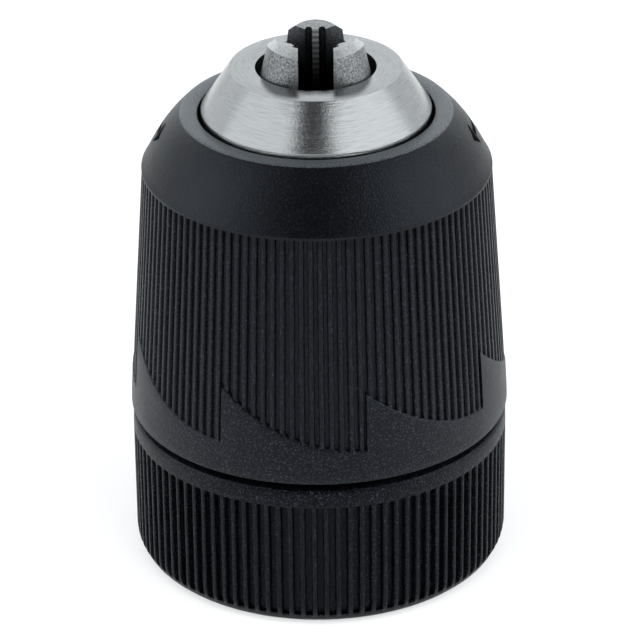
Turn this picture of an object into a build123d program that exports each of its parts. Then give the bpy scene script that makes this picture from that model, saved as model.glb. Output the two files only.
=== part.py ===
from build123d import *
import math
import os

os.makedirs("parts", exist_ok=True)

# A hand-tightened three-jaw drill chuck standing on its rear face.
# Millimetres.  The spindle axis is Z, the nose points up, z = 0 is the rear face.

# ---------------------------------------------------------------- main sizes
NOSE_Z = 59.2          # steel nose face
NOSE_R = 9.66          # outer edge of the nose face
CONE_R = 12.86         # bottom of the nose cone
CONE_Z = 54.4
TOOL_R = 6.7           # hole in the nose, for 13 mm shanks
TOOL_FLOOR_Z = 24.0
HUB_R = 11.0
FLANGE_R = 17.0
FLANGE_Z = 28.6
BEARING_Z = 33.0
GROOVE_R = 8.9         # waist the split nut runs around
GROOVE_Z0 = 37.2
GROOVE_Z1 = 45.6

# 1/2 inch - 20 UNF spindle socket and its retaining-screw hole
SPINDLE_MINOR_R = 5.67
SPINDLE_DEPTH = 15.0
SCREW_R = 3.3

# jaws
JAW_TILT = 15.5
JAW_R = 3.6
JAW_BORE_R = 3.64
JAW_MOUTH_R = 2.69      # jaw centre line to spindle axis at the nose face
JAW_TIP_Z = 62.1       # height of the tip's centre at rest
JAW_TAIL_Z = 28.5
JAW_TIP_CHAMFER = 0.8
JAW_TAIL_CHAMFER = 0.4
JAW_APEX = 2.25        # rest distance from the centre line to the wedge apex
JAW_LAND = 0.64        # apex to gripping ridge
JAW_RIDGE_W = 0.73
JAW_FLUTE_W = 0.76
JAW_FLUTE_D = 0.45
JAW_ANGLES = (90.0, 210.0, 330.0)
TAN = math.tan(math.radians(JAW_TILT))
COS = math.cos(math.radians(JAW_TILT))
SIN = math.sin(math.radians(JAW_TILT))

# jaw thread: right hand, cut on a cone that follows the jaws' backs
PITCH = 2.0
PITCH_Z = PITCH * COS
THREAD_DEPTH = 1.0
THREAD_START_Z = 35.3
RIDGE_TIP = 0.275      # half width at the crest
FLANK = 0.1724         # half width gained per millimetre of depth
THREAD_GAP = 0.12
THREAD_ROOT = 0.30

# nut, band and thrust bearing
NUT_Z0 = 37.5
NUT_Z1 = 45.3
NUT_R = 15.2
BAND_R = 16.6
BAND_Z0 = 38.5
LUG_R = 17.6
LUG_COUNT = 6
RACE_IN = 14.6
RACE_OUT = 16.7
BALL_R = 1.0
BALL_PITCH_R = 15.65
BALL_Z = 35.1
BALL_COUNT = 24
PRESS_GAP = 0.01       # pressed rings are drawn just clear of their seats
LOWER_RACE_TOP = 34.3
UPPER_RACE_BOTTOM = 35.9

# sleeves
SLEEVE_R = 21.5
REAR_TOP_Z = 17.35
FRONT_Z0 = 18.25
FRONT_TOP_Z = 54.0
RIM_HOLE_R = 13.2
GRIP_TOP_Z = 47.6      # the front ribs start under the shoulder
FRONT_RIBS = 120
REAR_RIBS = 100
REAR_PHASE = -91.97     # degrees to the middle of one rear rib
REAR_VALLEY_W = 0.72
REAR_VALLEY_D = 0.7
REAR_GRIP_Z0 = 1.2
REAR_GRIP_Z1 = 15.2
FINS = 8
FIN_PHASE = 14.15      # degrees from straight ahead to the first fin's step
FRONT_OUTLINE = (
    (SLEEVE_R, FRONT_Z0),
    (21.47, 19.5),
    (21.15, 25.0),
    (20.6, 33.0),
    (20.18, 39.0),
    (19.58, GRIP_TOP_Z),
    (18.24, 49.9),
    (16.89, 52.0),
    (15.2, FRONT_TOP_Z),
)


def axis_radius(z):
    """Distance of a jaw's centre line from the spindle axis at height z."""
    return JAW_MOUTH_R + (NOSE_Z - z) * TAN


def back_radius(z):
    """Distance of a jaw's back from the spindle axis at height z."""
    return axis_radius(z) + JAW_R / COS


def on_cone(z, along, out):
    """A point near the thread cone: along its slope, and out of its surface."""
    return (back_radius(z) - along * SIN + out * COS, z + along * COS + out * SIN)


def outline_radius(z):
    """Outside radius of the front sleeve at height z."""
    for (r0, z0), (r1, z1) in zip(FRONT_OUTLINE, FRONT_OUTLINE[1:]):
        if z0 <= z <= z1:
            return r0 + (r1 - r0) * (z - z0) / (z1 - z0)
    return FRONT_OUTLINE[-1][0]


# ---------------------------------------------------------------- fixed parts
def make_body():
    """Steel body: threaded hub, thrust flange, waist for the nut, bored nose."""
    with BuildPart() as body:
        with BuildSketch(Plane.XZ):
            with BuildLine():
                Polyline(
                    (0.0, 0.0),
                    (HUB_R - 0.5, 0.0),
                    (HUB_R, 0.5),
                    (HUB_R, FLANGE_Z - 1.5),
                    (FLANGE_R - 1.5, FLANGE_Z - 1.5),
                    (FLANGE_R, FLANGE_Z),
                    (FLANGE_R, BEARING_Z),
                    (RACE_IN - 0.05, BEARING_Z),
                    (RACE_IN - 0.05, BEARING_Z + 1.2),
                    (12.4, BEARING_Z + 2.4),
                    (12.4, GROOVE_Z0),
                    (GROOVE_R, GROOVE_Z0),
                    (GROOVE_R, GROOVE_Z1),
                    (CONE_R, GROOVE_Z1),
                    (CONE_R, 47.0),
                    (12.2, 47.0),
                    (12.2, 48.3),
                    (CONE_R, 48.3),
                    (CONE_R, CONE_Z),
                    (NOSE_R, NOSE_Z),
                    (0.0, NOSE_Z),
                    close=True,
                )
            make_face()
        revolve(axis=Axis.Z)
        with BuildSketch(Plane.XY.offset(NOSE_Z)):
            Circle(TOOL_R)
        extrude(amount=TOOL_FLOOR_Z - NOSE_Z, mode=Mode.SUBTRACT)
        with BuildSketch(Plane.XY):
            Circle(SCREW_R)
        extrude(amount=TOOL_FLOOR_Z, mode=Mode.SUBTRACT)
        with BuildSketch(Plane.XY):
            Circle(SPINDLE_MINOR_R)
        extrude(amount=SPINDLE_DEPTH, mode=Mode.SUBTRACT)
        with BuildSketch(Plane.XZ):
            with BuildLine():
                Polyline(
                    (SPINDLE_MINOR_R - 0.2, -0.1),
                    (SPINDLE_MINOR_R + 0.8, -0.1),
                    (SPINDLE_MINOR_R + 0.7, 0.0),
                    (SPINDLE_MINOR_R - 0.2, 0.9),
                    close=True,
                )
            make_face()
        revolve(axis=Axis.Z, mode=Mode.SUBTRACT)
        for angle in JAW_ANGLES:
            turn = math.radians(angle)
            slope = Vector(math.cos(turn) * SIN, math.sin(turn) * SIN, -COS)
            top_r = axis_radius(NOSE_Z + 12.0)
            top = Vector(math.cos(turn) * top_r, math.sin(turn) * top_r, NOSE_Z + 12.0)
            with BuildSketch(Plane(origin=top, z_dir=slope)):
                Circle(JAW_BORE_R)
            extrude(amount=(NOSE_Z - 1.0) / COS, mode=Mode.SUBTRACT)
    body.part.label = "chuck_body"
    export_step(body.part, "parts/chuck_body.step")


def make_hub_ring():
    """Steel ring pressed on the hub; the rear sleeve is moulded around it."""
    with BuildPart() as ring:
        with BuildSketch(Plane.XY.offset(0.8)):
            Circle(14.0)
            Circle(HUB_R + PRESS_GAP, mode=Mode.SUBTRACT)
        extrude(amount=12.8)
    ring.part.label = "hub_ring"
    export_step(ring.part, "parts/hub_ring.step")


def make_rear_sleeve():
    """Plastic rear sleeve: ribbed cup with a floor, a hub tube and webs."""
    with BuildPart() as rear:
        with BuildSketch(Plane.XZ):
            with BuildLine():
                Polyline(
                    (HUB_R + 0.3, 0.0),
                    (20.1, 0.0),
                    (SLEEVE_R, 1.5),
                    (SLEEVE_R, REAR_TOP_Z),
                    (20.0, REAR_TOP_Z),
                    (20.0, 19.6),
                    (19.15, 19.6),
                    (19.15, 4.0),
                    (15.6, 4.0),
                    (15.6, 13.0),
                    (14.0, 13.0),
                    (14.0, 0.8),
                    (HUB_R + 0.3, 0.8),
                    close=True,
                )
            make_face()
        revolve(axis=Axis.Z)
        with BuildSketch(Plane.XY.offset(3.5)):
            with PolarLocations(17.4, 8):
                Rectangle(4.2, 1.2)
        extrude(amount=5.5)
        with BuildSketch(Plane.XY.offset(REAR_GRIP_Z0)):
            valley = REAR_PHASE + 180.0 / REAR_RIBS
            with PolarLocations(SLEEVE_R, REAR_RIBS, start_angle=valley):
                Rectangle(2.0 * REAR_VALLEY_D, REAR_VALLEY_W)
        extrude(amount=REAR_GRIP_Z1 - REAR_GRIP_Z0, mode=Mode.SUBTRACT)
    rear.part.label = "rear_sleeve"
    export_step(rear.part, "parts/rear_sleeve.step")


def make_lower_race():
    """Hardened washer on the flange with a rolling groove on top."""
    with BuildPart() as race:
        with BuildSketch(Plane.XZ):
            with BuildLine():
                Polyline(
                    (RACE_IN, BEARING_Z),
                    (RACE_OUT, BEARING_Z),
                    (RACE_OUT, LOWER_RACE_TOP),
                    (RACE_IN, LOWER_RACE_TOP),
                    close=True,
                )
            make_face()
            with Locations((BALL_PITCH_R, BALL_Z)):
                Circle(BALL_R + 0.04, mode=Mode.SUBTRACT)
        revolve(axis=Axis.Z)
    race.part.label = "lower_race"
    export_step(race.part, "parts/lower_race.step")


def make_snap_ring():
    """Open spring ring in the nose groove; it keeps the front sleeve on."""
    with BuildPart() as snap:
        with BuildSketch(Plane.XY.offset(47.05)):
            Circle(14.3)
            Circle(12.25, mode=Mode.SUBTRACT)
            with Locations((0.0, -13.2)):
                Rectangle(7.0, 4.0, mode=Mode.SUBTRACT)
        extrude(amount=1.15)
    snap.part.label = "snap_ring"
    export_step(snap.part, "parts/snap_ring.step")


# ---------------------------------------------------------------- turning parts
def make_valley(share):
    """Cutter for the narrow valley between two ribs; share is its place in a fin."""
    low = 22.0 + 6.8 * (1.0 - share) ** 2
    deep = 0.28
    with BuildPart() as valley:
        with BuildSketch(Plane.XZ.offset(-0.2)):
            with BuildLine():
                Polyline(
                    (outline_radius(low) + 0.3, low),
                    (outline_radius(low) - deep, low + 0.3),
                    (outline_radius(33.0) - deep, 33.0),
                    (outline_radius(39.0) - deep, 39.0),
                    (outline_radius(GRIP_TOP_Z) - deep, GRIP_TOP_Z - 0.3),
                    (outline_radius(GRIP_TOP_Z) + 0.3, GRIP_TOP_Z - 0.1),
                    close=True,
                )
            make_face()
        extrude(amount=0.4)
    return valley


def make_front_sleeve():
    """Plastic front sleeve: tapered grip with fine ribs ending in eight fins."""
    with BuildPart() as front:
        with BuildSketch(Plane.XZ):
            with BuildLine():
                Polyline(
                    *FRONT_OUTLINE,
                    (RIM_HOLE_R, FRONT_TOP_Z),
                    (RIM_HOLE_R, 48.8),
                    (14.8, 48.8),
                    (14.8, NUT_Z1),
                    (BAND_R + PRESS_GAP, NUT_Z1),
                    (BAND_R + PRESS_GAP, NUT_Z0),
                    (FLANGE_R + 0.05, NUT_Z0),
                    (FLANGE_R + 0.05, BEARING_Z + 0.4),
                    (19.2, BEARING_Z - 1.6),
                    (19.2, 20.3),
                    (20.35, 20.0),
                    (20.35, FRONT_Z0),
                    close=True,
                )
            make_face()
        revolve(axis=Axis.Z)
        with BuildSketch(Plane.XY.offset(NUT_Z0)):
            with PolarLocations(BAND_R, LUG_COUNT):
                Rectangle(2.0 * (LUG_R - BAND_R), 4.0)
        extrude(amount=44.0 - NUT_Z0, mode=Mode.SUBTRACT)
        step = 360.0 / FRONT_RIBS
        per_fin = FRONT_RIBS // FINS
        for index in range(1, per_fin + 1):
            valley = make_valley(index / per_fin)
            first = FIN_PHASE - 90.0 + step * index
            with PolarLocations(0.0, FINS, start_angle=first):
                add(valley.part, mode=Mode.SUBTRACT)
    front.part.label = "front_sleeve"
    export_step(front.part, "parts/front_sleeve.step")


def make_nut():
    """Steel nut with a tapered internal thread, cracked into two halves."""
    with BuildPart() as ridge:
        start_r = back_radius(THREAD_START_Z)
        with BuildSketch(Plane.XZ) as section:
            with BuildLine():
                low = -THREAD_DEPTH
                high = THREAD_ROOT + 0.3
                wide = RIDGE_TIP + (high - low) * FLANK
                Polyline(
                    on_cone(THREAD_START_Z, -RIDGE_TIP, low),
                    on_cone(THREAD_START_Z, RIDGE_TIP, low),
                    on_cone(THREAD_START_Z, wide, high),
                    on_cone(THREAD_START_Z, -wide, high),
                    close=True,
                )
            make_face()
        with BuildLine() as path:
            Helix(
                pitch=PITCH,
                height=NUT_Z1 + 1.5 - THREAD_START_Z,
                radius=start_r,
                center=(0, 0, THREAD_START_Z),
                cone_angle=-JAW_TILT,
            )
        sweep(section.sketch, path=path.line, is_frenet=True, clean=False)
        with BuildSketch(Plane.XY.offset(NUT_Z1)):
            Circle(30.0)
        extrude(amount=8.0, mode=Mode.SUBTRACT)
        with BuildSketch(Plane.XY.offset(NUT_Z0)):
            Circle(30.0)
        extrude(amount=-8.0, mode=Mode.SUBTRACT)
    with BuildPart() as nut:
        with BuildSketch(Plane.XZ):
            with BuildLine():
                Polyline(
                    (back_radius(NUT_Z0) + THREAD_ROOT, NUT_Z0),
                    (BAND_R, NUT_Z0),
                    (BAND_R, BAND_Z0),
                    (NUT_R, BAND_Z0),
                    (NUT_R, NUT_Z1),
                    (back_radius(NUT_Z1) + THREAD_ROOT, NUT_Z1),
                    close=True,
                )
            make_face()
        revolve(axis=Axis.Z)
        add(ridge.part)
    for label, side in (("nut_half_a", Keep.TOP), ("nut_half_b", Keep.BOTTOM)):
        with BuildPart() as half:
            add(nut.part)
            split(bisect_by=Plane.XZ, keep=side)
        half.part.label = label
        export_step(half.part, f"parts/{label}.step")


def make_nut_band():
    """Steel band that holds the nut halves together; its lugs drive the sleeve."""
    with BuildPart() as band:
        with BuildSketch(Plane.XY.offset(BAND_Z0)):
            Circle(BAND_R)
            Circle(NUT_R + PRESS_GAP, mode=Mode.SUBTRACT)
        extrude(amount=NUT_Z1 - BAND_Z0)
        with BuildSketch(Plane.XY.offset(BAND_Z0)):
            with PolarLocations(BAND_R, LUG_COUNT):
                Rectangle(2.0 * (LUG_R - BAND_R) - 0.1, 3.9)
            Circle(BAND_R - 0.2, mode=Mode.SUBTRACT)
        extrude(amount=5.4)
    band.part.label = "nut_band"
    export_step(band.part, "parts/nut_band.step")


def make_upper_race():
    """Hardened washer under the nut with the matching rolling groove."""
    with BuildPart() as race:
        with BuildSketch(Plane.XZ):
            with BuildLine():
                Polyline(
                    (RACE_IN, UPPER_RACE_BOTTOM),
                    (RACE_OUT, UPPER_RACE_BOTTOM),
                    (RACE_OUT, NUT_Z0),
                    (RACE_IN, NUT_Z0),
                    close=True,
                )
            make_face()
            with Locations((BALL_PITCH_R, BALL_Z)):
                Circle(BALL_R + 0.04, mode=Mode.SUBTRACT)
        revolve(axis=Axis.Z)
    race.part.label = "upper_race"
    export_step(race.part, "parts/upper_race.step")


# ---------------------------------------------------------------- ball bearing
def make_cage_and_balls():
    """Plastic cage ring and its loose-fitted steel balls."""
    with BuildPart() as cage:
        with BuildSketch(Plane.XY.offset(BALL_Z - 0.45)):
            Circle(RACE_OUT - 0.1)
            Circle(RACE_IN - 0.45, mode=Mode.SUBTRACT)
            with PolarLocations(BALL_PITCH_R + 0.44, BALL_COUNT):
                RectangleRounded(3.0, 2.1, 1.04, mode=Mode.SUBTRACT)
        extrude(amount=0.9)
    cage.part.label = "ball_cage"
    export_step(cage.part, "parts/ball_cage.step")
    for index in range(BALL_COUNT):
        turn = math.radians(360.0 * index / BALL_COUNT)
        spot = (BALL_PITCH_R * math.cos(turn), BALL_PITCH_R * math.sin(turn), BALL_Z)
        with BuildPart() as ball:
            with Locations(spot):
                Sphere(BALL_R)
        ball.part.label = f"ball_{index + 1:02d}"
        export_step(ball.part, f"parts/ball_{index + 1:02d}.step")


# ---------------------------------------------------------------- jaws
def jaw_blank():
    """One jaw ahead of its teeth, lying in the XZ plane: a tilted rod with
    chamfered ends, whose inner side is ground to a wedge with a gripping ridge
    between two flutes."""
    tail = Vector(axis_radius(JAW_TAIL_Z), 0.0, JAW_TAIL_Z)
    rise = Vector(-SIN, 0.0, COS)
    with BuildPart() as blank:
        with BuildSketch(Plane(origin=tail, z_dir=rise)):
            Circle(JAW_R)
        extrude(amount=(JAW_TIP_Z - JAW_TAIL_Z) / COS)
        ends = blank.edges().filter_by(GeomType.CIRCLE).sort_by(Axis.Z)
        chamfer(ends[-1], length=JAW_TIP_CHAMFER)
        chamfer(ends[0], length=JAW_TAIL_CHAMFER)
        reach = 12.0
        wide = reach * math.tan(math.radians(60.0))
        land_y = JAW_LAND * math.tan(math.radians(60.0))
        land_x = JAW_APEX + JAW_LAND
        with BuildSketch(Plane.XY.offset(20.0)):
            with BuildLine():
                Polyline(
                    (land_x, -land_y),
                    (land_x, land_y),
                    (JAW_APEX + reach, wide),
                    (-20.0, wide),
                    (-20.0, -wide),
                    (JAW_APEX + reach, -wide),
                    close=True,
                )
            make_face()
            flute_x = land_x + JAW_FLUTE_D - JAW_FLUTE_W / 2
            flute_y = (JAW_RIDGE_W + JAW_FLUTE_W) / 2
            with Locations((flute_x - 0.5, flute_y), (flute_x - 0.5, -flute_y)):
                Rectangle(1.0, JAW_FLUTE_W)
            with Locations((flute_x, flute_y), (flute_x, -flute_y)):
                Circle(JAW_FLUTE_W / 2)
        extrude(amount=60.0, mode=Mode.SUBTRACT)
    return blank


def tooth_cutter():
    """A curved groove shaped like one turn of the nut's thread plus clearance."""
    mid_z = (NUT_Z0 + NUT_Z1) / 2
    low = -THREAD_DEPTH - THREAD_GAP
    high = 0.8
    narrow = RIDGE_TIP + THREAD_GAP - THREAD_GAP * FLANK
    wide = narrow + (high - low) * FLANK
    lead = math.degrees(math.atan(PITCH_Z / (2 * math.pi * back_radius(mid_z))))
    with BuildPart() as ring:
        with BuildSketch(Plane.XZ.rotated((0, 0, -25.0))):
            with BuildLine():
                Polyline(
                    on_cone(mid_z, -narrow, low),
                    on_cone(mid_z, narrow, low),
                    on_cone(mid_z, wide, high),
                    on_cone(mid_z, -wide, high),
                    close=True,
                )
            make_face()
        revolve(axis=Axis.Z, revolution_arc=50.0)
    with BuildPart() as cutter:
        with Locations(Location((0, 0, mid_z), (lead, 0, 0))):
            add(ring.part.moved(Location((0, 0, -mid_z))))
    return cutter


def make_jaws():
    """Three jaws; their teeth are each a third of a pitch apart, like the thread."""
    blank = jaw_blank()
    cutter = tooth_cutter()
    mid_z = (NUT_Z0 + NUT_Z1) / 2
    last_tooth_z = 58.4
    for number, angle in enumerate(JAW_ANGLES, start=1):
        first = THREAD_START_Z + PITCH_Z * angle / 360.0 - 4 * PITCH_Z
        with BuildPart() as jaw:
            add(blank.part)
            for turn in range(int((last_tooth_z - first) / PITCH_Z) + 1):
                shift = first + turn * PITCH_Z - mid_z
                with Locations((-shift * TAN, 0.0, shift)):
                    add(cutter.part, mode=Mode.SUBTRACT)
        with BuildPart() as placed:
            add(jaw.part, rotation=(0, 0, angle))
        placed.part.label = f"jaw_{number}"
        export_step(placed.part, f"parts/jaw_{number}.step")


make_body()
make_hub_ring()
make_rear_sleeve()
make_lower_race()
make_snap_ring()
make_front_sleeve()
make_nut()
make_nut_band()
make_upper_race()
make_cage_and_balls()
make_jaws()
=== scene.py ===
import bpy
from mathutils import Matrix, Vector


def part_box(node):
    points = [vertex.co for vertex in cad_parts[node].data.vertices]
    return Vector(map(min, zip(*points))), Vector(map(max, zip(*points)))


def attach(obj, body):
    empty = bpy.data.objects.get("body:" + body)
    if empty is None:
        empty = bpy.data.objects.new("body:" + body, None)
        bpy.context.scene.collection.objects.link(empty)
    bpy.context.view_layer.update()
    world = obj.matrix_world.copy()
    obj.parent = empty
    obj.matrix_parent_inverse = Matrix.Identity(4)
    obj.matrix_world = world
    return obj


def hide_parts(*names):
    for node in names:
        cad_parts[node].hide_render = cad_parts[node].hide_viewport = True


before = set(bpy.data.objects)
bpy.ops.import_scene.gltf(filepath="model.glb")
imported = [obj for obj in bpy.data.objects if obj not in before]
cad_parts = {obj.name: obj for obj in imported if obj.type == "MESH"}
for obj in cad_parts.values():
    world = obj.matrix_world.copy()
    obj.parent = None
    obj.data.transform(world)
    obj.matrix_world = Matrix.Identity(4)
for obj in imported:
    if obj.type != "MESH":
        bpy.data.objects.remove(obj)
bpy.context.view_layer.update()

import math

import bpy
import numpy as np
from mathutils import Matrix, Vector

# A keyless drill chuck standing on its rear face, nose up, with the spindle axis on Z.
# Shapes and heights on the part are in millimetres and degrees, and new_piece turns shapes
# into metres.  Texture scales are per metre.  Lights and the camera are placed in metres.
MM = 0.001
CAMERA_SIDE = -90.0    # the direction that faces the camera


def box_mm(node):
    """The lowest and highest corner of a CAD node at rest."""
    low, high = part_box(node)
    return [value / MM for value in low], [value / MM for value in high]


front_low, front_high = box_mm("front_sleeve")
_, rear_high = box_mm("rear_sleeve")
_, body_high = box_mm("chuck_body")
FRONT_Z0 = front_low[2]
FRONT_TOP = front_high[2]
SLEEVE_R = rear_high[0]
NOSE_Z = body_high[2]

# front sleeve
GRIP_TOP = 47.6        # the ribs end here, under the shoulder
OUTLINE = [(SLEEVE_R, FRONT_Z0), (21.47, 19.5), (21.15, 25.0), (20.6, 33.0), (20.18, 39.0),
           (19.58, GRIP_TOP), (18.24, 49.9), (16.89, 52.0), (15.2, FRONT_TOP)]
RIM_HOLE_R = 13.2      # clearance around the nose
FRONT_RIBS = 120
FRONT_VALLEY_D = 0.36
FINS = 8
FIN_PHASE = 14.15 + CAMERA_SIDE    # the step of the first fin
FIN_LOW_Z = 22.0       # the ribs' lower end, at the low side of a fin's step
FIN_RISE = 6.8         # and how much higher it is at the fin's other side
FIN_STEP = ((0.56, 1.0), (0.50, 0.0))    # its two columns: degrees before the first wall, place
BAND_PROUD = 0.12      # the smooth band below the ribs stands out this far

# rear sleeve
REAR_TOP = 17.35
REAR_RIBS = 100
REAR_PHASE = -91.97    # the middle of one rib
REAR_VALLEY_D = 0.70

# arrows in the shoulder
ARROW_Z = 51.1
ARROW_HEAD_ANGLE = 6.0
ARROW_TIP_HALF = 0.05
ARROW_HEAD_HALF = 1.10
ARROW_SHAFT_HALF = 0.34
ARROW_FOOT = -0.12     # from the shoulder's skin to the arrow's buried face
ARROW_FACE = 0.014     # and to the face that shows

# steel body
HUB_R = 11.0
FLANGE_R = 17.0
BEARING_Z = 33.0
GROOVE_R = 8.9         # the waist that the split nut runs around
GROOVE_Z0 = 37.2
GROOVE_Z1 = 45.6
CONE_R = 12.86
TOOL_R = 6.7
SCREW_R = 3.3
SOCKET_R = 6.5
SOCKET_DEPTH = 15.0
JAW_TILT = math.radians(15.5)
JAW_ANGLES = (90.0, 210.0, 330.0)
JAW_MOUTH_R = 2.69     # a jaw's centre line to the spindle axis at the nose face
JAW_BORE_R = 3.64
BORE_CUT_ABOVE = 12.0  # the cutter starts this far above the nose face
BORE_CUT_HEIGHT = 58.2    # and is this tall
BORE_FACETS = 96

# 1/2 inch - 20 thread in the socket
THREAD_PITCH = 1.27
THREAD_MINOR_R = 5.67
THREAD_MAJOR_R = 6.4
THREAD_TURNS = 11
THREAD_Z0 = 0.3
THREAD_Z1 = 14.9


# ---------------------------------------------------------------- mesh helpers
def new_piece(name, points, faces, sharp=None):
    """An object from points in millimetres.  With a sharp angle it is shaded smooth, except
    across edges that turn further than that."""
    mesh = bpy.data.meshes.new(name)
    mesh.from_pydata((np.array(points) * MM).tolist(), [], faces)
    mesh.validate()
    mesh.update()
    if sharp is not None:
        shade_smooth(mesh, sharp)
    piece = bpy.data.objects.new(name, mesh)
    bpy.context.scene.collection.objects.link(piece)
    return piece


def shade_smooth(mesh, sharp):
    """Smooth shading that stops at edges of more than sharp degrees."""
    mesh.polygons.foreach_set("use_smooth", [True] * len(mesh.polygons))
    mesh.set_sharp_from_angle(angle=math.radians(sharp))


def polar(radius, angles, z):
    """Points from radius, angle and height; a single number is used for every angle."""
    radius, turns, z = np.broadcast_arrays(radius, np.radians(angles), z)
    return np.stack([radius * np.cos(turns), radius * np.sin(turns), z], axis=-1)


def ring_mesh(name, rows, sharp):
    """A closed skin from rows of points around the axis; the last row joins the first."""
    grid = np.array(rows)
    row_count, columns, _ = grid.shape
    faces = []
    for row in range(row_count):
        here = row * columns
        there = (row + 1) % row_count * columns
        for column in range(columns):
            beside = (column + 1) % columns
            faces.append((here + column, here + beside, there + beside, there + column))
    return new_piece(name, grid.reshape(-1, 3), faces, sharp)


def lathe(name, profile, columns, sharp):
    """A closed turned solid from (radius, z) points."""
    angles = np.arange(columns) * 360.0 / columns
    return ring_mesh(name, [polar(radius, angles, z) for radius, z in profile], sharp)


def rib_columns(count, half_top, crown, wall, valley):
    """Angles and depths of the columns around a ribbed grip, starting in the middle of a valley.

    A rib's top is flat and drops off over its last crown degrees, then comes a sloping
    wall down to the flat valley."""
    crown_drop = 0.09
    pitch = 360.0 / count
    # from the middle of a rib: start of the crown, a point on it, top and foot of the wall
    steps = [0.0, half_top - crown, half_top - 0.4 * crown, half_top, half_top + wall]
    angles = []
    depths = []
    for rib in range(count):
        for side in [-step for step in reversed(steps)] + steps[1:]:
            away = abs(side)
            if away > half_top:
                depth = valley
            else:
                depth = crown_drop * (max(0.0, away - half_top + crown) / crown) ** 2
            angles.append((rib + 0.5) * pitch + side)
            depths.append(depth)
    return angles, depths


# ---------------------------------------------------------------- front sleeve
def outline(z):
    """Outside radius of the front sleeve in CAD, which its rib tops follow."""
    return np.interp(z, [height for _, height in OUTLINE], [radius for radius, _ in OUTLINE])


def fin_columns():
    """The front sleeve's columns: their angles, depths, and places from 0 to 1 along a fin."""
    ribs = list(zip(*rib_columns(FRONT_RIBS, half_top=0.70, crown=0.30, wall=0.26, valley=FRONT_VALLEY_D)))
    span = 360.0 / FINS
    per_fin = len(ribs) // FINS
    angles = []
    depths = []
    places = []
    for index, (turn, depth) in enumerate(ribs):
        if index % per_fin == 0:
            for before, place in FIN_STEP:
                angles.append(FIN_PHASE + turn - before)
                depths.append(FRONT_VALLEY_D)
                places.append(place)
        angles.append(FIN_PHASE + turn)
        depths.append(depth)
        places.append((turn % span) / span)
    return np.array(angles), np.array(depths), np.array(places)


def build_front_sleeve():
    """Front sleeve with its ribs, the fins that end them, the shoulder, rim and inside."""
    angles, depths, places = fin_columns()
    fin_edge = FIN_LOW_Z + FIN_RISE * (1.0 - places) ** 2
    rows = []

    def add_row(z, lift, groove):
        """A row at height z, lifted off the outline, with groove as a share of the ribs' depth."""
        rows.append(polar(outline(z) + lift - groove * depths, angles, z))

    # the smooth band, from its rounded lower edge to the edge of the fins
    band_z0 = FRONT_Z0 + 0.2
    add_row(FRONT_Z0, -0.15, 0.0)
    add_row(FRONT_Z0 + 0.05, BAND_PROUD - 0.06, 0.0)
    for share in (0.0, 0.2, 0.4, 0.6, 0.8):
        add_row(band_z0 + (fin_edge - 0.2 - band_z0) * share, BAND_PROUD, 0.0)
    for rise, lift, groove in ((-0.16, BAND_PROUD, 0.0), (-0.06, BAND_PROUD - 0.02, 0.0), (0.06, 0.0, 0.05),
                               (0.14, 0.0, 0.9), (0.26, 0.0, 1.0)):
        add_row(fin_edge + rise, lift, groove)

    # the ribs, and where they run out under the shoulder
    ribs_z0 = fin_edge + 0.26
    ribs_z1 = GRIP_TOP - 0.62
    for share in np.linspace(0.06, 1.0, 20):
        add_row(ribs_z0 + (ribs_z1 - ribs_z0) * share, 0.0, 1.0)
    for rise, lift, groove in ((-0.48, 0.0, 0.8), (-0.38, 0.0, 0.1), (-0.24, 0.01, 0.0), (-0.12, 0.06, 0.0),
                               (0.04, 0.06, 0.0), (0.16, 0.02, 0.0)):
        add_row(GRIP_TOP + rise, lift, groove)

    # the slightly crowned shoulder
    for z, lift in ((48.3, 0.05), (49.1, 0.10), (49.9, 0.13), (50.8, 0.13), (51.6, 0.12), (52.4, 0.10),
                    (53.1, 0.06)):
        add_row(z, lift, 0.0)

    # the flat rim, then the inside down to the lower edge
    rim = [(15.42, FRONT_TOP - 0.28), (15.2, FRONT_TOP - 0.08), (14.9, FRONT_TOP),
           (RIM_HOLE_R + 0.3, FRONT_TOP), (RIM_HOLE_R + 0.08, FRONT_TOP - 0.1), (RIM_HOLE_R, FRONT_TOP - 0.3)]
    inside = [(RIM_HOLE_R, 48.8), (14.8, 48.8), (14.8, 45.3), (16.6, 45.3), (16.6, 37.5), (17.05, 37.5),
              (17.05, 33.4), (19.2, 31.4), (19.2, 20.3), (20.35, 20.0), (20.35, FRONT_Z0)]
    for radius, z in rim + inside:
        rows.append(polar(radius, angles, z))
    return ring_mesh("front_sleeve_grip", rows, sharp=32.0)


def build_arrow(name, tip, tail):
    """A plain dark arrow let into the shoulder, from its tip's angle to its tail's."""
    crown_heights = (GRIP_TOP, 49.9, 52.0, FRONT_TOP)
    crown_lifts = (0.04, 0.13, 0.12, 0.10)    # of the shoulder's skin off the outline
    way = math.copysign(1.0, tail - tip)
    neck = tip + way * ARROW_HEAD_ANGLE
    stations = []
    for share in np.linspace(0.0, 1.0, 8):
        half = ARROW_TIP_HALF + (ARROW_HEAD_HALF - ARROW_TIP_HALF) * share
        stations.append((tip + (neck - tip) * share, half))
    for turn in np.linspace(neck + way * 0.05, tail, 24):
        stations.append((turn, ARROW_SHAFT_HALF))

    points = []
    for turn, half in stations:
        for z in (ARROW_Z - half, ARROW_Z + half):
            skin = outline(z) + np.interp(z, crown_heights, crown_lifts)
            for lift in (ARROW_FOOT, ARROW_FACE):
                points.append(polar(skin + lift, turn + CAMERA_SIDE, z + 0.5 * lift))
    faces = []
    for a in range(0, len(points) - 4, 4):
        b = a + 4
        faces += [(a + 1, b + 1, b + 3, a + 3), (a, a + 2, b + 2, b),
                  (a, b, b + 1, a + 1), (a + 2, a + 3, b + 3, b + 2)]
    last = len(points) - 4
    faces += [(0, 1, 3, 2), (last, last + 2, last + 3, last + 1)]
    return new_piece(name, points, faces)


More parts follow.
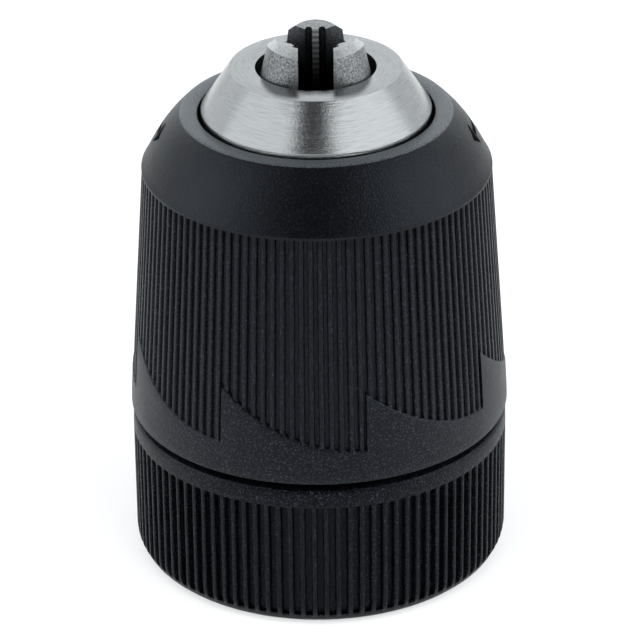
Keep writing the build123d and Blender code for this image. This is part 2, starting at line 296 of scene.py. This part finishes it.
# ---------------------------------------------------------------- rear sleeve
def build_rear_sleeve():
    """Rear sleeve with its ribs, collar, spigot and inside."""
    angles, depths = rib_columns(REAR_RIBS, half_top=0.66, crown=0.42, wall=0.30, valley=REAR_VALLEY_D)
    angles = np.array(angles) + REAR_PHASE - 180.0 / REAR_RIBS
    depths = np.array(depths)
    rows = []

    def add_row(radius, z, groove=0.0):
        """A row with groove as a share of the ribs' depth."""
        rows.append(polar(radius - groove * depths, angles, z))

    # rounded lower edge, out of which the valleys sink
    for radius, z, groove in ((20.1, 0.0, 0.0), (20.4, 0.1, 0.0), (20.85, 0.5, 0.0), (21.1, 0.95, 0.0),
                              (21.2, 1.15, 0.1), (21.28, 1.3, 0.85), (21.38, 1.5, 1.0), (21.46, 1.9, 1.0)):
        add_row(radius, z, groove)

    # the ribs, and where they run out under the collar
    for z in np.linspace(2.4, 14.7, 10):
        add_row(SLEEVE_R, z, 1.0)
    for z, groove in ((14.95, 1.0), (15.08, 0.75), (15.18, 0.1), (15.3, 0.0)):
        add_row(SLEEVE_R, z, groove)

    # the rounded collar, the spigot above it, then the inside and the rear face
    collar = [(21.48, 16.0), (21.46, 16.8), (21.4, 17.1), (21.25, 17.28), (21.0, REAR_TOP), (20.0, REAR_TOP)]
    inside = [(20.0, 19.6), (19.15, 19.6), (19.15, 4.0), (15.6, 4.0), (15.6, 13.0), (14.0, 13.0),
              (14.0, 0.8), (11.3, 0.8), (11.3, 0.0), (15.0, 0.0), (19.4, 0.0)]
    for radius, z in collar + inside:
        add_row(radius, z)
    return ring_mesh("rear_sleeve_grip", rows, sharp=32.0)


# ---------------------------------------------------------------- steel body
def jaw_bore_cutter(azimuth):
    """A cylinder along one jaw's inclined centre line."""
    turn = math.radians(azimuth)
    outward = Vector((math.cos(turn), math.sin(turn), 0.0))
    down = outward * math.sin(JAW_TILT) - Vector((0.0, 0.0, math.cos(JAW_TILT)))
    start = outward * (JAW_MOUTH_R - BORE_CUT_ABOVE * math.tan(JAW_TILT))
    start.z = NOSE_Z + BORE_CUT_ABOVE
    side = down.orthogonal().normalized()
    other = down.cross(side)
    points = []
    for end in (start, start + down * (BORE_CUT_HEIGHT / math.cos(JAW_TILT))):
        for step in range(BORE_FACETS):
            angle = 2 * math.pi * step / BORE_FACETS
            points.append(end + (side * math.cos(angle) + other * math.sin(angle)) * JAW_BORE_R)
    faces = []
    for step in range(BORE_FACETS):
        beside = (step + 1) % BORE_FACETS
        faces.append((step, beside, BORE_FACETS + beside, BORE_FACETS + step))
    faces.append(tuple(reversed(range(BORE_FACETS))))
    faces.append(tuple(range(BORE_FACETS, 2 * BORE_FACETS)))
    return new_piece("bore_cut", points, faces)


def build_body():
    """Turned body with its three inclined jaw bores and the socket for the spindle."""
    sharp = 28.0
    hub = [(SOCKET_R, 0.0), (10.5, 0.0), (HUB_R, 0.5), (HUB_R, 27.1)]
    flange = [(15.5, 27.1), (FLANGE_R, 28.6), (FLANGE_R, BEARING_Z), (14.55, BEARING_Z), (14.55, 34.2),
              (12.4, 35.4), (12.4, GROOVE_Z0)]
    waist = [(GROOVE_R, GROOVE_Z0), (GROOVE_R, GROOVE_Z1), (CONE_R, GROOVE_Z1)]
    ring_groove = [(CONE_R, 47.0), (12.2, 47.0), (12.2, 48.3), (CONE_R, 48.3)]
    cone = [(CONE_R, 54.25), (12.8, 54.42), (9.72, 59.06), (9.62, 59.17), (9.5, NOSE_Z)]
    tool_hole = [(6.85, NOSE_Z), (6.74, 59.16), (TOOL_R, 59.05), (TOOL_R, 24.0)]
    socket = [(SCREW_R, 24.0), (SCREW_R, SOCKET_DEPTH), (SOCKET_R, SOCKET_DEPTH)]
    profile = hub + flange + waist + ring_groove + cone + tool_hole + socket
    body = lathe("body_turned", profile, columns=288, sharp=sharp)
    cutters = [jaw_bore_cutter(azimuth) for azimuth in JAW_ANGLES]
    for cutter in cutters:
        cut = body.modifiers.new("jaw_bore", "BOOLEAN")
        cut.operation = "DIFFERENCE"
        cut.solver = "EXACT"
        cut.object = cutter
    graph = bpy.context.evaluated_depsgraph_get()
    bored = bpy.data.meshes.new_from_object(body.evaluated_get(graph))
    body.modifiers.clear()
    body.data = bored
    shade_smooth(bored, sharp)
    for cutter in cutters:
        bpy.data.objects.remove(cutter)
    return body


def build_spindle_thread():
    """The internal thread, as a threaded liner in the socket."""
    columns = 96
    angles = np.arange(columns) * 360.0 / columns
    rows = []
    for step in range(THREAD_TURNS * 4 + 1):
        rise = (step / 4.0 + angles / 360.0) * THREAD_PITCH
        radius = (THREAD_MINOR_R, THREAD_MAJOR_R, THREAD_MAJOR_R, THREAD_MINOR_R)[step % 4]
        rows.append(polar(radius, angles, np.clip(THREAD_Z0 + rise, THREAD_Z0, THREAD_Z1)))
    liner_r = SOCKET_R - 0.01    # just inside the socket's wall
    for radius, z in ((liner_r, SOCKET_DEPTH - 0.05), (liner_r, 0.02), (liner_r - 0.14, 0.02)):
        rows.append(polar(radius, angles, z))
    return ring_mesh("spindle_thread_wall", rows, sharp=30.0)


# ---------------------------------------------------------------- materials
class Look:
    """A procedural material in the making.  Most methods add a node and return its output."""

    def __init__(self, name):
        self.material = bpy.data.materials.new(name)
        self.material.use_nodes = True
        self.nodes = self.material.node_tree.nodes
        self.links = self.material.node_tree.links
        self.shader = self.nodes["Principled BSDF"]
        coordinates = self.nodes.new("ShaderNodeTexCoord")
        self.place = coordinates.outputs["Object"]
        self.facing = coordinates.outputs["Normal"]
        self.height = self.split(self.place)[2]

    def feed(self, node, inputs):
        """Give a node's inputs, by name or number, a value or another node's output."""
        for key, value in inputs.items():
            socket = node.inputs[key]
            if isinstance(value, bpy.types.NodeSocket):
                self.links.new(value, socket)
            elif socket.type == "RGBA":
                socket.default_value = (*value, 1.0)
            else:
                socket.default_value = value

    def split(self, vector):
        """The x, y and z of a vector."""
        node = self.nodes.new("ShaderNodeSeparateXYZ")
        self.feed(node, {0: vector})
        return node.outputs

    def join(self, x, y, z):
        node = self.nodes.new("ShaderNodeCombineXYZ")
        self.feed(node, {0: x, 1: y, 2: z})
        return node.outputs[0]

    def calculate(self, kind, *values):
        node = self.nodes.new("ShaderNodeMath")
        node.operation = kind
        self.feed(node, dict(enumerate(values)))
        return node.outputs[0]

    def times(self, first, second):
        return self.calculate("MULTIPLY", first, second)

    def calculate_vector(self, kind, *vectors):
        """A vector operation; its result is a number for a length or a dot product."""
        node = self.nodes.new("ShaderNodeVectorMath")
        node.operation = kind
        self.feed(node, dict(enumerate(vectors)))
        return node.outputs["Value" if kind in ("LENGTH", "DOT_PRODUCT") else "Vector"]

    def noise(self, vector, scale, detail=2.0, roughness=0.5):
        node = self.nodes.new("ShaderNodeTexNoise")
        self.feed(node, {"Vector": vector, "Scale": scale, "Detail": detail, "Roughness": roughness})
        return node.outputs["Fac"]

    def step(self, value, low, high):
        """0 at low, 1 at high, with a soft step between."""
        node = self.nodes.new("ShaderNodeMapRange")
        node.interpolation_type = "SMOOTHSTEP"
        self.feed(node, {"Value": value, "From Min": low, "From Max": high})
        return node.outputs["Result"]

    def ramp(self, value, *stops):
        """Colours along value, from (position, colour) stops."""
        node = self.nodes.new("ShaderNodeValToRGB")
        self.feed(node, {"Fac": value})
        elements = node.color_ramp.elements
        elements[0].position = stops[0][0]
        elements[1].position = stops[-1][0]
        for position, _ in stops[1:-1]:
            elements.new(position)
        for element, (_, colour) in zip(elements, stops):
            element.color = (*colour, 1.0)
        return node.outputs["Color"]

    def blend(self, mask, first, second):
        """The first colour where the mask is 0, the second where it is 1."""
        node = self.nodes.new("ShaderNodeMix")
        node.data_type = "RGBA"
        self.feed(node, {0: mask, 6: first, 7: second})
        return node.outputs[2]

    def bump(self, height, strength, distance):
        """A normal from a height, whose full relief is the distance."""
        node = self.nodes.new("ShaderNodeBump")
        self.feed(node, {"Height": height, "Strength": strength, "Distance": distance})
        return node.outputs["Normal"]

    def finish(self, inputs):
        """Set the shader's own inputs and hand the material over."""
        self.feed(self.shader, inputs)
        return self.material


def black_plastic(name, gloss, matt_z0, matt_z1):
    """Black moulded plastic with a fine spark-eroded grain.

    It is duller on the ribs, from height matt_z0 to matt_z1, and painted lighter grey on the front
    sleeve's flat rim, a painted highlight where the rim faces up to the light."""
    # from here up, the rim's flat top is painted lighter grey as a painted highlight
    rim_highlight_z0 = 53.85       # millimetres, like the other heights
    rim_highlight_z1 = 53.92
    look = Look(name)
    grain = look.noise(look.place, 5000.0, 2.0, 0.7)
    cloud = look.noise(look.place, 260.0)
    smooth = look.ramp(grain, (0.44, (0.0001, 0.0001, 0.0002)), (0.57, (0.0007, 0.0008, 0.0013)),
                       (0.67, (0.0140, 0.0155, 0.0205)))
    matt = look.ramp(grain, (0.44, (0.0004, 0.0004, 0.0007)), (0.56, (0.0035, 0.0040, 0.0056)),
                     (0.67, (0.0420, 0.0460, 0.0590)))
    # painted highlight: the lighter grey of the rim
    painted_highlight = look.ramp(grain, (0.36, (0.035, 0.039, 0.044)), (0.64, (0.115, 0.126, 0.140)))
    on_grip = look.times(look.step(look.height, (matt_z0 - 0.1) * MM, matt_z0 * MM),
                         look.step(look.height, (matt_z1 + 0.2) * MM, matt_z1 * MM))
    on_rim = look.step(look.height, rim_highlight_z0 * MM, rim_highlight_z1 * MM)
    return look.finish({
        "Base Color": look.blend(on_rim, look.blend(on_grip, smooth, matt), painted_highlight),
        "Roughness": look.calculate("MULTIPLY_ADD", cloud, 0.10, 0.33),
        "Specular IOR Level": gloss,
        "Specular Tint": (0.76, 0.83, 1.0),
        "Normal": look.bump(grain, 1.0, 0.08 * MM)})


def mark_plastic():
    """Dull plastic, darker than the sleeve around it, for the arrows."""
    look = Look("mark_recess")
    grain = look.noise(look.place, 3000.0)
    return look.finish({
        "Base Color": look.ramp(grain, (0.35, (0.0006, 0.0006, 0.0009)), (0.7, (0.004, 0.004, 0.005))),
        "Roughness": 0.8,
        "Specular IOR Level": 0.02})


def turned_steel(name, base, roughness, line_scale, line_strength, spot_strength=0.15):
    """Satin steel with fine lines running round the spindle axis."""
    line_shortness = 4.5    # how fast the lines change around the axis
    cone_slope = 0.9        # so that the lines follow each other down the cone and across flat faces
    look = Look(name)
    x, y, z = look.split(look.place)
    radius = look.calculate("SQRT", look.calculate("ADD", look.times(x, x), look.times(y, y)))
    safe_radius = look.calculate("MAXIMUM", radius, 0.1 * MM)
    along = look.calculate("SUBTRACT", z, look.times(radius, cone_slope))
    around = look.join(look.times(look.calculate("DIVIDE", x, safe_radius), line_shortness),
                       look.times(look.calculate("DIVIDE", y, safe_radius), line_shortness),
                       look.times(along, line_scale))
    lines = look.noise(around, 1.0, 3.0, 0.65)
    spots = look.noise(look.place, 3800.0)
    cloud = look.noise(look.place, 220.0)
    dark = tuple(channel * 0.78 for channel in base)
    light = tuple(min(1.0, channel * 1.08) for channel in base)
    relief = look.calculate("ADD", lines, look.times(spots, spot_strength))
    return look.finish({
        "Base Color": look.ramp(lines, (0.25, dark), (0.5, base), (0.75, light)),
        "Roughness": look.calculate("MULTIPLY_ADD", cloud, 0.10, roughness - 0.05),
        "Metallic": 1.0,
        "Normal": look.bump(relief, line_strength, 0.03 * MM)})


def ground_steel(name, base, roughness, scale=2600.0, strength=0.35):
    """Hardened ground steel with a speckled satin surface."""
    look = Look(name)
    grain = look.noise(look.place, scale, 4.0, 0.6)
    cloud = look.noise(look.place, 300.0)
    dark = tuple(channel * 0.66 for channel in base)
    light = tuple(min(1.0, channel * 1.15) for channel in base)
    return look.finish({
        "Base Color": look.ramp(grain, (0.3, dark), (0.52, base), (0.75, light)),
        "Roughness": look.calculate("MULTIPLY_ADD", cloud, 0.14, roughness - 0.07),
        "Metallic": 1.0,
        "Normal": look.bump(grain, strength, 0.04 * MM)})


def jaw_ground_steel():
    """Jaw steel: a speckled back, a bevel and a flat tip painted lighter as painted highlights where
    they face up, and gripping faces painted dark as painted shade, with a ridge painted light in
    stripes as a painted highlight, all darkening with depth into the bore as painted shade.

    The surfaces are told apart by the way they face: tilt is 1 facing up, and inward is
    -1 facing the spindle axis."""
    line_rate = 9800.0      # radians per metre, so one line every 0.64 mm up the ridge
    look = Look("ground_jaw_steel")
    grain = look.noise(look.place, 4600.0, 2.0, 0.7)
    tilt = look.split(look.facing)[2]
    flat = look.calculate_vector("MULTIPLY", look.place, (1.0, 1.0, 0.0))
    inward = look.calculate_vector("DOT_PRODUCT", look.calculate_vector("NORMALIZE", flat), look.facing)

    # outside of the jaw: back, bevel and flat tip; the bevel and tip, which face up, are painted lighter than
    # the back as painted highlights
    back = look.ramp(grain, (0.32, (0.085, 0.088, 0.092)), (0.5, (0.215, 0.22, 0.225)),
                     (0.68, (0.37, 0.375, 0.38)))
    # painted highlights: the bevel and the flat tip, lighter than the back
    painted_highlight = look.ramp(grain, (0.30, (0.52, 0.525, 0.53)), (0.7, (0.86, 0.865, 0.87)))
    flat_tip = look.ramp(grain, (0.3, (0.30, 0.305, 0.31)), (0.7, (0.66, 0.665, 0.67)))
    on_bevel = look.times(look.step(tilt, 0.36, 0.44), look.step(tilt, 0.94, 0.88))
    on_tip = look.step(tilt, 0.88, 0.93)
    outside = look.blend(on_tip, look.blend(on_bevel, back, painted_highlight), flat_tip)

    # gripping faces: the ridge nearest the axis, the flutes and the wedge faces, coloured with painted shade
    # and a painted highlight
    # the ridge is painted light, in stripes, as a painted highlight
    wave = look.calculate("SINE", look.times(look.height, line_rate))
    stripes = look.calculate("MULTIPLY_ADD", wave, 0.5, 0.5)
    ridge = look.ramp(stripes, (0.0, (0.36, 0.365, 0.37)), (1.0, (0.95, 0.96, 0.97)))
    # painted shade: the flutes and wedge faces are painted dark
    painted_shade = look.ramp(grain, (0.3, (0.045, 0.047, 0.052)), (0.7, (0.14, 0.145, 0.155)))
    on_ridge = look.times(look.step(inward, -0.93, -0.985),
                          look.step(look.calculate_vector("LENGTH", flat), 3.18 * MM, 3.06 * MM))
    # painted shade: lower down the bore the gripping faces fade to nearly black
    near_mouth = look.step(look.height, 54.5 * MM, 60.5 * MM)
    gripping = look.blend(near_mouth, (0.004, 0.004, 0.005), look.blend(on_ridge, painted_shade, ridge))
    on_gripping = look.times(look.step(inward, -0.18, -0.30), look.step(tilt, 0.70, 0.50))
    return look.finish({
        "Base Color": look.blend(on_gripping, outside, gripping),
        "Roughness": 0.34,
        "Metallic": 1.0,
        "Normal": look.bump(grain, 0.5, 0.04 * MM)})


def nylon():
    """Natural nylon of the ball cage."""
    look = Look("natural_nylon")
    cloud = look.noise(look.place, 900.0, 3.0)
    return look.finish({
        "Base Color": look.ramp(cloud, (0.3, (0.62, 0.56, 0.42)), (0.7, (0.76, 0.71, 0.58))),
        "Roughness": 0.45,
        "Normal": look.bump(cloud, 0.2, 0.03 * MM)})


def floor_paint():
    """Plain pale floor, almost even."""
    look = Look("pale_floor")
    cloud = look.noise(look.place, 6.0)
    return look.finish({
        "Base Color": look.ramp(cloud, (0.3, (0.90, 0.90, 0.90)), (0.7, (0.92, 0.92, 0.92))),
        "Roughness": 0.9,
        "Specular IOR Level": 0.1})


def dress(piece, material):
    """Give a piece of this script its one material."""
    piece.data.materials.clear()
    piece.data.materials.append(material)


plastic = black_plastic("black_moulded_plastic", gloss=0.20, matt_z0=18.2, matt_z1=46.0)
rear_plastic = black_plastic("black_moulded_plastic_rear", gloss=0.12, matt_z0=1.0, matt_z1=18.0)
nose_steel = turned_steel("turned_nose_steel", (0.45, 0.455, 0.46), roughness=0.20, line_scale=5600.0,
                          line_strength=0.85, spot_strength=0.5)
insert_steel = turned_steel("machined_steel", (0.40, 0.40, 0.41), roughness=0.34, line_scale=7000.0,
                            line_strength=0.4)
jaw_steel = jaw_ground_steel()
nut_steel = ground_steel("oiled_nut_steel", (0.36, 0.36, 0.38), roughness=0.30)
race_steel = ground_steel("race_steel", (0.62, 0.62, 0.63), roughness=0.20, scale=1500.0, strength=0.1)
ball_steel = ground_steel("ball_steel", (0.74, 0.74, 0.75), roughness=0.10, scale=900.0, strength=0.03)
spring_steel = ground_steel("black_spring_steel", (0.16, 0.16, 0.17), roughness=0.34)
cage_nylon = nylon()

# The CAD meshes stay as they are, so a material goes on the object.  Nodes not named here are balls.
looks = {"hub_ring": insert_steel, "lower_race": race_steel, "upper_race": race_steel,
         "snap_ring": spring_steel, "nut_half_a": nut_steel, "nut_half_b": nut_steel,
         "nut_band": insert_steel, "ball_cage": cage_nylon, "jaw_1": jaw_steel, "jaw_2": jaw_steel,
         "jaw_3": jaw_steel, "chuck_body": nose_steel, "front_sleeve": plastic, "rear_sleeve": plastic}
for node_name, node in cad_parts.items():
    for slot in node.material_slots:
        slot.link = "OBJECT"
        slot.material = looks.get(node_name, ball_steel)

# ---------------------------------------------------------------- pieces
front_grip = build_front_sleeve()
dress(front_grip, plastic)
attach(front_grip, "sleeve")
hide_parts("front_sleeve")

mark_black = mark_plastic()
for hand, tip, tail in (("right", 82.0, 108.0), ("left", -86.0, -112.0)):
    arrow = build_arrow("arrow_" + hand, tip, tail)
    dress(arrow, mark_black)
    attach(arrow, "sleeve")

rear_grip = build_rear_sleeve()
dress(rear_grip, rear_plastic)
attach(rear_grip, "body")
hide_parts("rear_sleeve")

turned_body = build_body()
dress(turned_body, nose_steel)
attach(turned_body, "body")
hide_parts("chuck_body")

thread_wall = build_spindle_thread()
dress(thread_wall, insert_steel)
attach(thread_wall, "body")

# ---------------------------------------------------------------- studio
FLOOR_HALF = 4000.0
FLOOR_Z = -0.1         # just under the part, so that the two faces do not meet
corner_ways = ((-1, -1), (1, -1), (1, 1), (-1, 1))
floor_corners = [(x * FLOOR_HALF, y * FLOOR_HALF, FLOOR_Z) for x, y in corner_ways]
floor = new_piece("studio_floor", floor_corners, [(0, 1, 2, 3)])
dress(floor, floor_paint())


def panel(name, place, aim, size, radiance):
    """A soft light panel of even brightness, facing the point aim; size is (width, height)."""
    width, height = size
    lamp = bpy.data.lights.new(name, "AREA")
    lamp.shape = "RECTANGLE"
    lamp.size = width
    lamp.size_y = height
    lamp.energy = radiance * math.pi * width * height
    lamp.color = (0.95, 1.0, 1.02)
    holder = bpy.data.objects.new(name, lamp)
    holder.location = place
    holder.rotation_euler = (Vector(aim) - Vector(place)).to_track_quat("-Z", "Y").to_euler()
    holder.visible_camera = False
    bpy.context.scene.collection.objects.link(holder)
    return holder


def side_panel(name, azimuths, distance, heights, radiance):
    """An upright panel around the part, between two azimuths and two heights.  Azimuth 0 is
    the camera's side, and + is to its right."""
    first, second = azimuths
    low, high = heights
    middle = math.radians((first + second) / 2)
    half = math.radians(abs(second - first) / 2)
    centre = (distance * math.sin(middle), -distance * math.cos(middle), (low + high) / 2)
    width = 2 * distance * math.tan(half)
    return panel(name, centre, (0.0, 0.0, centre[2]), (width, high - low), radiance)


# The gap between the side panels draws the dark band down the middle of the polished cone.
# The low front card closes its foot, which the flat nose face mirrors when seen from behind.
GAP_LEFT = -24.0
GAP_RIGHT = 17.0
BACK = (143.0, 217.0)

# a wash for the floor alone: the part neither gets it nor throws its shadow
floor_lit = bpy.data.collections.new("floor_lit")
floor_lit.objects.link(floor)
floor_wash = panel("floor_wash", (0.0, -0.30, 0.95), (0.0, -0.05, 0.0), (0.8, 0.6), 5.8)
floor_wash.data.color = (1.0, 1.0, 1.0)
floor_wash.visible_glossy = False
floor_wash.light_linking.receiver_collection = floor_lit
floor_wash.light_linking.blocker_collection = floor_lit

# lights for everything
side_panel("wing_left", (-105.0, -142.0), 0.80, (0.02, 0.80), 0.85)
side_panel("wing_right", (105.0, 142.0), 0.80, (0.02, 0.80), 0.78)
side_panel("panel_back", BACK, 0.85, (0.02, 1.00), 0.95)

# lights that leave the two sleeves out
all_but_sleeves = bpy.data.collections.new("all_but_sleeves")
for piece in (front_grip, rear_grip):
    all_but_sleeves.objects.link(piece)
for member in all_but_sleeves.collection_objects:
    member.light_linking.link_state = "EXCLUDE"
# seen in reflections only
card_above = panel("card_above", (0.0, 0.30, 1.05), (0.0, 0.0, 0.05), (1.3, 0.9), 0.65)
card_above.visible_diffuse = False
for steel_light in (card_above,
                    side_panel("panel_left", (GAP_LEFT, -104.0), 0.75, (0.02, 1.25), 1.15),
                    side_panel("panel_right", (GAP_RIGHT, 104.0), 0.75, (0.02, 1.25), 1.35),
                    side_panel("front_card", (GAP_LEFT, GAP_RIGHT), 0.75, (0.04, 0.31), 0.6)):
    steel_light.light_linking.receiver_collection = all_but_sleeves

# lights for the two sleeves alone
sleeves_lit = bpy.data.collections.new("sleeves_lit")
for piece in (front_grip, rear_grip):
    sleeves_lit.objects.link(piece)
for sleeve_light in (side_panel("sleeve_left", (-52.0, -106.0), 0.70, (0.02, 1.2), 3.1),
                     side_panel("sleeve_right", (49.0, 106.0), 0.70, (0.02, 1.2), 3.1),
                     side_panel("sleeve_back", BACK, 0.80, (0.10, 1.0), 1.6)):
    sleeve_light.light_linking.receiver_collection = sleeves_lit

world = bpy.data.worlds.new("studio_world")
world.use_nodes = True
backdrop = world.node_tree.nodes["Background"]
backdrop.inputs["Color"].default_value = (1.0, 1.0, 1.0, 1.0)
backdrop.inputs["Strength"].default_value = 0.06
bpy.context.scene.world = world

# ---------------------------------------------------------------- camera
EYE = Vector((0.0, -0.3783, 0.2226))
TARGET = Vector((0.0, 0.0, 0.028))
ROLL = 0.011           # radians
FOCAL_LENGTH = 209.4
SENSOR_WIDTH = 36.0
forward = (TARGET - EYE).normalized()
right = forward.cross(Vector((0, 0, 1))).normalized()
up = right.cross(forward)
side = right * math.cos(ROLL) - up * math.sin(ROLL)
top = right * math.sin(ROLL) + up * math.cos(ROLL)
camera_data = bpy.data.cameras.new("camera")
camera_data.sensor_width = SENSOR_WIDTH
camera_data.lens = FOCAL_LENGTH
camera_data.shift_x = 0.0023
camera_data.shift_y = -0.0045
camera_data.clip_start = 0.01
camera = bpy.data.objects.new("camera", camera_data)
camera.matrix_world = Matrix((
    (side.x, top.x, -forward.x, EYE.x),
    (side.y, top.y, -forward.y, EYE.y),
    (side.z, top.z, -forward.z, EYE.z),
    (0, 0, 0, 1)))
bpy.context.scene.collection.objects.link(camera)
bpy.context.scene.camera = camera
bpy.context.scene.view_settings.view_transform = "Standard"
bpy.context.scene.view_settings.look = "None"
